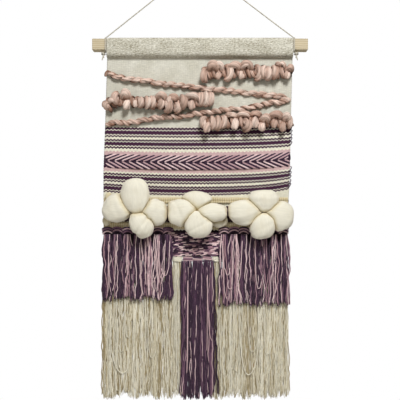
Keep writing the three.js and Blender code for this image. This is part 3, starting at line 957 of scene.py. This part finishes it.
def add_loops(name, material, seed):
    """A row of loops, close enough to press on each other, in front of the coil that joins them."""
    strands = Strands(seed)
    rng = strands.rng
    for i, (shape, x, z, wide, tall) in enumerate(LOOPS[name]):
        wide, tall = LOOP_FULLNESS * wide, LOOP_FULLNESS * tall
        thick = min(6.6, 0.66 * wide, 0.56 * tall) * rng.uniform(0.92, 1.06)
        lift = 8.5 + 3.5 * (i % 2) + rng.uniform(-1, 1)
        t = np.linspace(0, 1, 26)
        if shape == "drop":
            lean = rng.uniform(-0.25, 0.25) * wide
            route = [[x - lean, -2, z + tall - 2], [x - lean / 2, -lift - 2, z + 0.45 * tall],
                     [x, -lift - 4.5, z - 0.1 * tall], [x + lean / 2, -lift - 3, z - tall + thick]]
            path = spline(mm(route), len(t))
            size = np.interp(t, [0, 0.35, 0.75, 0.93, 1], [0.6, 0.84, 1.12, 0.95, 0.4])
            # Painted shade: the drop is darker where it leaves the cloth.
            tint = 0.1 + 0.55 * smooth(t, 0, 0.6)
        else:
            if shape == "thin":
                thick = THIN_LOOP
            start, stop = np.radians(LOOP_TURNS[shape])
            angle = np.linspace(start, stop, len(t))
            path = np.column_stack([
                x + (wide - thick) * np.cos(angle),
                -2.5 - thick * 0.7 - lift * np.sin(math.pi * t) ** 0.8,
                z + (tall - thick) * np.sin(angle),
            ]) * MM
            ends = np.interp(t, [0, 0.08, 0.92, 1], [0.75, 1, 1, 0.75])
            size = (0.8 + 0.25 * np.sin(math.pi * t) ** 0.7) * ends
            # Painted shade: the loop is darker towards both ends, where it dives into the cloth.
            tint = 0.05 + 0.6 * np.sin(math.pi * t) ** 0.7
        size = size * (1 + 0.06 * wobble(t, rng, 2, 1))
        add_roving(strands, path, size * thick * MM, tint + rng.uniform(-0.1, 0.15))
    add_coil(strands, name)
    return strands.piece("roving_loops_" + name, material)


# ---- Puffs ----

# The petals of each thick cream roving as (x, z, length, tail, half width, way it points in degrees, how far
# it stands forward, depth of the fold across it). A petal is round at its far end, length from its middle,
# and drawn to a point at the tie, tail from its middle. Their backs lie against the cloth.
PUFFS = {
    "left": [
        (-146, -447, 26, 36, 27, 176, 4, 0.02), (-113, -421, 26, 40, 26, 92, 10, 0.01),
        (-78.5, -456, 25, 34, 26, -10, 5, 0.03), (-102.5, -478.5, 24, 27, 21.5, -60, 9, 0.09),
        (-166, -429, 9.5, 9.5, 7, 90, -4, 0), (-168, -471, 10, 10, 8, 80, -4, 0),
    ],
    "centre": [
        (-30, -456, 28, 34, 25, 182, 4, 0.05), (-2, -433.5, 15.5, 24, 28, 86, 2, 0),
        (28, -456.5, 27.5, 32, 17.5, 4, 7, 0.02), (1, -479.5, 22, 27, 25.5, -80, 9, 0.05),
        (40, -472, 16, 16, 12.5, 10, -3, 0),
    ],
    "right": [
        (86, -456, 31, 36, 23.5, 180, 6, 0.01), (120.5, -434, 20.5, 23, 29, 97, 5, 0.02),
        (152, -461.5, 27, 37, 28, -8, 3, 0.03), (119.5, -480.5, 25, 26, 24, -86, 7, 0.04),
    ],
}
PUFF_HALF_DEPTH = 16.5 * MM
PUFF_PLUMP = 2.35  # 2 is an ellipse from front to back, and more is fuller
PUFF_REACH = 75 * MM  # petals whose middles are nearer than this may press on each other
PUFF_SOFTNESS = 0.045  # how far from its seam a petal starts to round over, as a share
PUFF_OVERLAP = 0.012  # so that no gap shows in a seam
PUFF_RAISED = 27 * MM  # in front of the cloth, where the painted light makes a puff palest


class Petal:
    """One swelling of a thick roving, as a surface round its middle."""

    def __init__(self, rng, x, z, length, tail, wide, turned, forward, fold):
        self.length, self.tail, self.wide = length * MM, tail * MM, wide * MM
        self.deep = min(PUFF_HALF_DEPTH, 0.95 * min(length, wide) * MM)
        self.middle = np.array([x * MM, FACE - 0.2 * MM - self.deep - forward * MM, z * MM])
        way = math.radians(turned)
        self.along = np.array([math.cos(way), 0, math.sin(way)])
        self.across = np.array([-math.sin(way), 0, math.cos(way)])
        self.lumps = rng.normal(0, 1, (4, 3))
        self.phases = TAU * rng.random(9)
        self.fold, self.forward = fold, forward

    def depth(self, points):
        """0 at the middle and 1 on the surface, growing evenly between them."""
        away = points - self.middle
        a, b, c = away @ self.along, away @ self.across, away[..., 1]
        a = a / np.where(a > 0, self.length, self.tail)
        b, c = b / self.wide, c / self.deep
        round_it = np.hypot(b, c)
        size = np.maximum(np.hypot(a, round_it), 1e-9)
        power = 2.0 + 0.42 * a / size
        outline = (np.abs(a) ** power + np.abs(b) ** power) ** (1 / power)
        plain = (outline**PUFF_PLUMP + np.abs(c) ** PUFF_PLUMP) ** (1 / PUFF_PLUMP)
        turn = np.arctan2(c, b)
        grooves = sum(
            math.sqrt(1 / wave) * np.sin(wave * turn + phase + 0.8 * a / size)
            for wave, phase in zip((5, 8, 13, 19, 27), self.phases)
        )
        pointed = np.clip(0.5 - 0.5 * a / size, 0, 1)
        facing = np.stack([a, b, c], -1) / size[..., None]
        lumps = np.sin(2.4 * facing @ self.lumps.T + self.phases[5:]).sum(-1)
        crossing = np.exp(-((a / size - 0.1 + 0.35 * b / size) / 0.13) ** 2)
        finer = np.sin(6.5 * facing @ self.lumps[::-1].T + self.phases[:4]).sum(-1)
        relief = 0.03 * lumps + 0.008 * finer - self.fold * crossing
        relief += 0.018 * grooves * (0.08 + 1.6 * pointed**2) * round_it / size
        return plain / (1 + relief)

    def pressed(self, points, others):
        """How far out from the middle each surface point meets its nearest neighbour, as a share."""
        steps = np.linspace(0.25, 1.55, 40)
        nearest = np.full(len(points), 2.0)
        for other in others:
            over = math.exp(0.045 * (self.forward - other.forward))  # the one in front gives way less
            gaps = np.stack([
                over * other.depth(self.middle + step * (points - self.middle)) - step for step in steps
            ])
            inside = gaps < 0
            first = np.argmax(inside, axis=0)
            met = inside.any(axis=0) & (first > 0)
            high = gaps[first, np.arange(len(points))]
            low = gaps[np.maximum(first - 1, 0), np.arange(len(points))]
            share = steps[first] - (steps[1] - steps[0]) * high / np.minimum(high - low, -1e-9)
            nearest = np.where(met, np.minimum(nearest, share), nearest)
        return nearest


def add_petal(strands, petal, others):
    """A petal's mesh, cut back where its neighbours press on it and flattened against the cloth."""
    rows, sides = 60, 84
    pole = 0.03  # each end is capped this far from its pole
    sweep = np.linspace(pole, math.pi - pole, rows)[:, None]
    turn = (TAU * np.arange(sides) / sides)[None, :]
    out = (np.cos(sweep)[..., None] * petal.along * petal.length
           + (np.sin(sweep) * np.cos(turn))[..., None] * petal.across * petal.wide
           + (np.sin(sweep) * np.sin(turn))[..., None] * np.array([0, 1, 0]) * petal.deep).reshape(-1, 3)
    surface = petal.middle + out / petal.depth(petal.middle + out)[:, None]
    meets = petal.pressed(surface, others)
    whole, cut = math.exp(-1 / PUFF_SOFTNESS), np.exp(-meets / PUFF_SOFTNESS)
    share = -PUFF_SOFTNESS * np.log(whole + cut)
    points = petal.middle + (share + PUFF_OVERLAP)[:, None] * (surface - petal.middle)
    rear = FACE - 0.3 * MM
    y = points[:, 1]
    points[:, 1] = np.where(y > rear - 3 * MM, rear - 3 * MM * np.exp(-(y - rear + 3 * MM) / (3 * MM)), y)
    # Painted light and shade: a petal is darker in its creases and in the hollows where petals meet, and
    # paler the further it stands from the cloth.
    painted_raised_light = smooth(rear - points[:, 1], 0, PUFF_RAISED)
    beside = np.min([other.depth(points) for other in others], axis=0)
    painted_crease_shade = np.maximum(smooth(meets, 0.99, 1.05), smooth(beside, 1.0, 1.05))
    painted_hollow_shade = np.maximum(smooth(meets, 1.0, 1.5), smooth(beside, 1.0, 1.45))
    light = 0.3 * painted_crease_shade + 0.35 * painted_hollow_shade + 0.35 * painted_raised_light
    straight = np.stack(np.broadcast_arrays(
        petal.length * sweep + strands.rng.uniform(0, 3),
        petal.wide * np.cos(turn) * (0.3 + 0.7 * np.sin(sweep)),
        petal.wide * np.sin(turn) * (0.3 + 0.7 * np.sin(sweep)),
    ), -1)
    strands.add_rings(points.reshape(rows, sides, 3)[:, ::-1], straight[:, ::-1],
                      np.broadcast_to(turn, (rows, sides)), light.reshape(rows, sides)[:, ::-1])


def add_puffs(side, material, seed):
    strands = Strands(seed)
    petals = [Petal(strands.rng, *shape) for shape in PUFFS[side]]
    neighbours = [Petal(strands.rng, *shape) for name in PUFFS for shape in PUFFS[name] if name != side]
    for petal in petals:
        others = [other for other in petals + neighbours if other is not petal
                  and np.linalg.norm(other.middle - petal.middle) < PUFF_REACH]
        add_petal(strands, petal, others)
    return strands.piece("roving_puff_" + side, material)


def add_ridges(material):
    """Cream rows woven in above and below the puffs, thick enough to show each warp as a rib."""
    strands = Strands(9)
    for z, height in ((-432, 4.4), (-436.5, 3.6), (-478, 4.4), (-484, 4.6)):
        left, right = edge_x(LEFT_EDGE, z * MM), edge_x(RIGHT_EDGE, z * MM)
        x = np.arange(left + 1 * MM, right - 1 * MM, RIB / 6)
        route = np.column_stack([x, np.full_like(x, FACE - 0.4 * MM), np.full_like(x, z * MM)])
        route[:, 2] += 0.5 * MM * wobble(np.linspace(0, 1, len(x)), strands.rng, 3, 3)
        rib = np.abs(np.sin(math.pi * x / RIB))
        # Painted shade: the tint is darker between the ribs.
        strands.add(route, height * MM * (0.66 + 0.34 * rib), 0.1 + 0.6 * rib, sides=12, flat=0.62)
    return strands.piece("cream_ridges", material)


# ---- Centre soumak ----

SOUMAK_TOP = -495 * MM
SOUMAK_ROW = 2.75 * MM
SOUMAK_TINTS = [0.0, 0.1, 0.2, 0.4, 0.6, 0.75, 0.9, 1.0]


def add_soumak(material):
    """Rows of yarn wrapped forwards over a few warps at a time, in broken colours."""
    strands = Strands(10)
    rng = strands.rng
    low, high = box_of("centre_soumak")
    left, right = low[0], high[0]
    rows = int((SOUMAK_TOP - PANEL_LOW[2] - 1 * MM) / SOUMAK_ROW)
    for row in range(rows + 1):
        z = SOUMAK_TOP - row * SOUMAK_ROW
        narrow = 5.5 * MM if row < 2 else 0
        x = left + narrow - rng.uniform(0, 10) * MM
        slope = 0.1 * math.sin(row * 1.3) + 0.12 * (row % 2 - 0.5)
        while x < right - narrow - 3 * MM:
            long = rng.uniform(6, 13) * MM
            tint = rng.choice(SOUMAK_TINTS)
            t = np.linspace(0, 1, 9)
            middle = 1 - ((x + long / 2) / (25 * MM)) ** 2
            sway = slope * long * (t - 0.5) + 1.4 * MM * max(0, middle) * math.sin(row * 0.9 + 1)
            route = np.column_stack([
                np.clip(x + long * t, left, right), FACE - 0.4 * MM - 2.1 * MM * np.sin(math.pi * t) ** 0.7,
                z + sway + rng.normal(0, 0.35) * MM + 0.8 * MM * (t - 0.5),
            ])
            strands.add(route, rng.uniform(1.1, 1.45) * MM, tint, sides=7)
            x += long * 0.8
    return strands.piece("soumak_wraps", material)


# ---- Knots and fringes ----

# The kinds of tassel: how many yarns and their radius, how far above its node a tassel starts, how wavy its
# yarns are, whether more yarns close the gaps at the back, and the tints the yarns are drawn from.
TASSELS = {
    "upper": {
        "yarns": 28, "radius": 1.0 * MM, "above": 5 * MM, "loose": 1.3, "filled": False,
        "tints": [0.0, 0.02, 0.05, 0.08, 0.12, 0.16, 0.2, 0.28, 0.4, 0.62, 0.95],
    },
    "cream": {
        "yarns": 44, "radius": 0.85 * MM, "above": 6 * MM, "loose": 1, "filled": True,
        "tints": [0.05, 0.3, 0.6, 0.8, 0.95, 1, 1],
    },
    "centre": {
        "yarns": 44, "radius": 1.05 * MM, "above": 6 * MM, "loose": 0.8, "filled": True,
        "tints": [0.0, 0.0, 0.03, 0.06, 0.1, 0.14, 0.18, 0.26, 0.42, 0.85],
    },
}
# The rows of tassels: the pieces' name, their nodes' name, their body, kind and slot.
FRINGES = [
    ("upper_fringe_left", "purple_tassel_left", "upper_fringe_left", "upper", "purple_yarn"),
    ("cream_fringe_left", "cream_tassel_left", "lower_fringe_left", "cream", "cream_yarn"),
    ("upper_fringe_right", "purple_tassel_right", "upper_fringe_right", "upper", "purple_yarn"),
    ("cream_fringe_right", "cream_tassel_right", "lower_fringe_right", "cream", "cream_yarn"),
    ("centre_fringe", "purple_tassel_centre", "centre_fringe", "centre", "purple_yarn"),
]
# Loose yarns that turn back up in front of the fringe, as [x, z].
HOOKS = {
    "cream_tassel_left_2": [
        [-163, -640], [-162, -690], [-158, -722], [-150, -746], [-140, -755], [-131, -748], [-126, -728],
    ],
    "cream_tassel_right_4": [
        [78, -628], [77, -655], [80, -700], [84, -735], [92, -757], [102, -752], [110, -728], [113, -690],
    ],
}


RYA_YARNS, RYA_STEP = 4, 2.5 * MM  # in each arch, and from one down to the next
BOUND_TURNS, BOUND_STEP = 3, 3.1 * MM  # of yarn round each bundle of warps


def add_rya_knots(side, material, seed):
    """Yarn looped over the warps in arches, one knot to a tassel."""
    strands = Strands(seed)
    rng = strands.rng
    low, high = box_of("purple_knots_" + side)
    count = count_nodes("purple_tassel_" + side)
    pitch = (high[0] - low[0]) / count
    for i in range(count):
        middle = low[0] + pitch * (i + 0.5)
        slant = rng.uniform(-0.6, 0.9) * MM
        for k in range(RYA_YARNS):
            z = high[2] + 0.8 * MM - k * RYA_STEP
            half = pitch * (0.56 - 0.02 * k)
            t = np.linspace(-1, 1, 15)
            route = np.column_stack([
                middle + half * t,
                FACE - 0.3 * MM - (4.6 - 0.5 * k) * MM * (1 - np.abs(t) ** 2.4) ** 0.6,
                z - (3.6 + 0.5 * k) * MM * np.abs(t) ** 2.1 + slant * t,
            ])
            dark = (k + i) % 2 == 0
            tint = rng.uniform(0, 0.2) if dark else rng.uniform(0.35, 0.9)
            strands.add(route, rng.uniform(1.15, 1.45) * MM, tint, sides=8)
    return strands.piece("rya_knots_" + side, material)


def rounded(value):
    """A sine or cosine that stays near its ends for longer, so that the circle they make is squarer."""
    return np.sign(value) * np.abs(value) ** 0.75


def add_edge_knots(name, node, count, material, seed, tints):
    """Warps gathered in bundles below the cloth, each bound by a few turns of yarn all round."""
    strands = Strands(seed)
    rng = strands.rng
    low, high = box_of(node)
    pitch = (high[0] - low[0]) / count
    for i in range(count):
        middle = low[0] + pitch * (i + 0.5)
        for k in range(BOUND_TURNS):
            z = high[2] - 1.4 * MM - k * BOUND_STEP
            tilt = rng.uniform(-1.1, 1.1) * MM
            turn = np.linspace(0, TAU, 23)
            half = pitch * 0.44 * (1 - 0.05 * abs(k - 1))
            route = np.column_stack([
                middle + half * rounded(np.cos(turn)),
                (2.6 + rng.uniform(0, 0.4)) * MM * rounded(np.sin(turn)),
                z + tilt * np.cos(turn) + 0.3 * MM * np.sin(2 * turn),
            ])
            strands.add(route, 1.85 * MM, rng.uniform(*tints), sides=8, taper=1)
    return strands.piece(name, material)


def add_tassel(name, node, kind, material, seed):
    """A bundle of yarn that hangs from its knot, in the space of its own node."""
    strands = Strands(seed)
    rng = strands.rng
    low, high = box_of(node)
    start_z = high[2] + TASSELS[kind]["above"]
    yarns, radius, tints = (TASSELS[kind][key] for key in ("yarns", "radius", "tints"))
    filled = TASSELS[kind]["filled"]
    middle = (low[0] + high[0]) / 2
    half = (high[0] - low[0]) / 2
    at = (low[1] + high[1]) / 2
    deep = (high[1] - low[1]) / 2 - radius
    length = start_z - low[2]
    gathered, in_and_out = (0.85, 0.9 * MM) if filled else (0.72, 0.35 * MM)
    clumps = TAU * rng.random()
    for i in range(yarns):
        if i % 2 == 0:  # two by two the yarns come from the same knot, and hang alike
            pair = rng.integers(0, 2**31)
            ends = length * rng.uniform(0.945, 1.004)
            drift = rng.normal(0, 3.6) * MM
            place = 0.95 * ((i + 1) / yarns * 2 - 1) + rng.uniform(-0.1, 0.1)
            clump = 0.1 * math.sin(4.6 * math.pi * place + clumps)  # the yarns draw together in a few places
        alike = np.random.default_rng(pair)
        tint = tints[rng.integers(len(tints))]
        layer = rng.uniform(-1, -0.35) if tint > 0.6 and not filled else rng.uniform(-0.8, 0.8)
        t = np.linspace(0, 1, max(12, int(ends / (4 * MM))))
        fall = t * ends * rng.uniform(0.985, 1)
        opened = smooth(fall, 0, 26 * MM)
        wave = TASSELS[kind]["loose"] * 1.4 * MM * wobble(t, alike, 5, alike.uniform(0.9, 2.4) * ends / 0.15)
        apart = (i % 2 - 0.5) * 1.9 * radius * (0.9 + 0.45 * wobble(t, rng, 2, 1.6))
        x = middle + half * (place + clump * opened) * (gathered + (1 - gathered) * opened)
        sway = (wave + apart + 0.3 * MM * wobble(t, rng, 3, 2)) * smooth(fall, 3 * MM, 30 * MM)
        x = x + sway + drift * t**1.5
        y = at + deep * layer * (0.45 + 0.5 * opened) + in_and_out * wobble(t, alike, 3, 1.5)
        y = np.clip(y, at - deep - 3 * MM, at + deep + 0.6 * MM)
        tint = np.clip(tint + rng.uniform(-0.06, 0.06), 0, 1)
        size = radius * rng.uniform(0.85, 1.12) * (1.08 - 0.3 * tint)
        strands.add(np.column_stack([x, y, start_z - fall]), size, tint, sides=6, taper=0.5)
    if filled:  # yarns at the back that close the gaps, in the darker tints as painted shade
        count = round(2 * half / (2 * radius))
        for i in range(count):
            t = np.linspace(0, 1, 16)
            fall = t * length * rng.uniform(0.93, 0.98)
            x = middle + half * ((i + 0.5) / count * 2 - 1) + 0.5 * MM * wobble(t, rng, 3, 2)
            y = at + 0.8 * deep + 0.3 * MM * wobble(t, rng, 2)
            tint = tints[rng.integers(len(tints) // 2)]
            strands.add(np.column_stack([x, y, start_z - fall]), 1.2 * radius, tint, sides=5)
    for _ in range(rng.integers(0, 3)):
        tint = tints[-1] * rng.uniform(0.9, 1)
        add_stray(strands, middle, half, at - deep - 1.5 * MM, start_z, length, radius, tint)
    if node in HOOKS:
        bend = np.insert(mm(HOOKS[node]), 1, at - deep - 2.4 * MM, axis=1)
        strands.add(spline(bend, 60), radius, 1, sides=6, taper=0.5)
    made = strands.piece(name, material)
    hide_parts(node)
    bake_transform(made)
    return made


def add_stray(strands, middle, half, y, start_z, length, radius, tint):
    """A yarn in front of the others that leans across them, or turns back up in a hook."""
    rng = strands.rng
    x = middle + half * rng.uniform(-0.6, 0.6)
    lean = rng.uniform(-1, 1) * 9 * MM
    top = start_z - 12 * MM
    bottom = start_z - length * rng.uniform(0.55, 0.9)
    tall = top - bottom
    route = [[x, y + 3 * MM, top], [x + 0.2 * lean, y, top - 0.35 * tall],
             [x + 0.5 * lean, y - 0.6 * MM, bottom + 0.25 * tall]]
    if rng.random() < 0.35:
        hook = math.copysign(rng.uniform(4, 7) * MM, lean)
        x += lean
        route += [[x, y, bottom + 8 * MM], [x + 0.5 * hook, y, bottom],
                  [x + 1.4 * hook, y, bottom + 2 * MM], [x + 1.9 * hook, y + 1 * MM, bottom + 13 * MM]]
    else:
        route += [[x + 0.8 * lean, y, bottom + 10 * MM], [x + 1.3 * lean, y + 0.6 * MM, bottom]]
    strands.add(spline(route, 48), 0.8 * radius, tint, sides=6, taper=0.5)


def add_fringes(materials):
    """Every tassel, each with a seed of its own."""
    made = []
    for number, (name, stem, body, kind, slot) in enumerate(FRINGES):
        for i in range(count_nodes(stem)):
            seed = 100 + 20 * number + i
            made.append(add_tassel(
                f"{name}_{i + 1}", f"{stem}_{i + 1}", kind, materials[slot], seed,
            ))
    return made


# Where dark weft turns outside the right-hand edge, as the start and stop of each turn below the nail.
FLOATS = [
    (307, 296), (313, 305.5), (321, 313), (328, 319), (334, 327),
    (384, 374), (391, 383), (396, 390), (407, 398), (412, 405),
]


def add_selvedge_floats(material):
    strands = Strands(12)
    for start, stop in FLOATS:
        x = edge_x(RIGHT_EDGE, -start * MM) / MM
        halfway = -(start + stop) / 2
        route = [
            [x - 4, -1.8, -start + 3], [x - 0.5, -2.6, -start + 3.6], [x + 1.6, -1.2, halfway + 3],
            [x + 3.2, 0.4, -stop + 2.2], [x + 1.2, 1.6, -stop + 4],
        ]
        strands.add(spline(mm(route), 12), 0.95 * MM, 0.03, sides=6)
    return strands.piece("selvedge_floats", material)


# ---- Everything ----


def make_materials():
    """The yarns and rovings, by slot. A tint of 0 takes a material's first colour and 1 its last."""
    return {
        "purple_yarn": yarn_material("purple_yarn", [
            (0.0, tone(48, 28, 50)), (0.25, tone(82, 52, 80)), (0.5, tone(138, 102, 122)),
            (0.72, tone(200, 162, 169)), (1.0, tone(250, 224, 225)),
        ]),
        "cream_yarn": yarn_material("cream_yarn", [
            (0, tone(170, 152, 110)), (0.5, tone(226, 217, 188)), (1, tone(252, 248, 230)),
        ], ply=4.0),
        # The darkest stops are painted shade, for the depths of the loops and braids.
        "pink_roving": fibre_material("pink_roving", [
            (0.0, tone(72, 44, 30)), (0.28, tone(150, 113, 94)), (0.6, tone(200, 168, 152)),
            (1.0, tone(242, 220, 207)),
        ], sheen=0.3, shade=0.45, bump=0.7),
        # The darker stops are painted shade, for the puffs' creases and hollows and between the ridges' ribs.
        "cream_roving": fibre_material("cream_roving", [
            (0.0, tone(146, 118, 72)), (0.3, tone(196, 178, 134)), (0.65, tone(218, 208, 178)),
            (1.0, tone(233, 229, 213)),
        ], fibre=1.5, sheen=0.35, shade=0.06, bump=0.3),
    }


def add_hanging_cord():
    cotton_stops = [(0, tone(176, 170, 154)), (1, tone(214, 209, 196))]
    cotton = fibre_material("cotton", cotton_stops, fibre=0.3, sheen=0.1, shade=0.3)
    cord, route = add_cord(cotton)
    ties = add_tie("left", cotton) + add_tie("right", cotton)


def add_work(materials):
    """Everything that is worked on the panel and moves with it."""
    purple, pink, cream = (materials[slot] for slot in ("purple_yarn", "pink_roving", "cream_roving"))

    def on_panel(piece, slot, *nodes):
        return settle(piece, "tapestry", slot, *nodes)

    work = [
        on_panel(add_herringbone(purple), "herringbone_yarn", "herringbone_band"),
        on_panel(add_braid("upper", 1, pink, 20), "pink_roving", "pink_braid_upper"),
        on_panel(add_braid("lower", -1, pink, 21), "pink_roving", "pink_braid_lower"),
        on_panel(add_ridges(cream), "cream_roving"),
        on_panel(add_soumak(purple), "purple_yarn", "centre_soumak"),
        on_panel(add_selvedge_floats(purple), "purple_yarn"),
    ]
    for number, name in enumerate(("upper", "middle", "lower")):
        loops = add_loops(name, pink, 30 + number)
        work.append(on_panel(loops, "pink_roving", "pink_loops_" + name))
    for number, side in enumerate(("left", "centre", "right")):
        puff = on_panel(add_puffs(side, cream, 40 + number), "cream_roving", "roving_puffs_" + side)
        work.append(puff)
    for number, side in enumerate(("left", "right")):
        knots = add_rya_knots(side, purple, 50 + number)
        work.append(on_panel(knots, "purple_yarn", "purple_knots_" + side))
        knots = add_edge_knots(
            "cream_edge_knots_" + side, "cream_knots_" + side, count_nodes("cream_tassel_" + side),
            materials["cream_yarn"], 60 + number, (0.8, 1),
        )
        work.append(on_panel(knots, "cream_yarn", "cream_knots_" + side))
    knots = add_edge_knots(
        "centre_edge_knots", "purple_knots_centre", count_nodes("purple_tassel_centre"), purple, 62, (0, 1),
    )
    work.append(on_panel(knots, "purple_yarn", "purple_knots_centre"))
    return work


add_camera()
add_hanging_cord()
add_studio()
add_batten(pine_material())
cloth, cloth_length = add_cloth(cloth_material())
materials = make_materials()
work = add_work(materials)
fringes = add_fringes(materials)
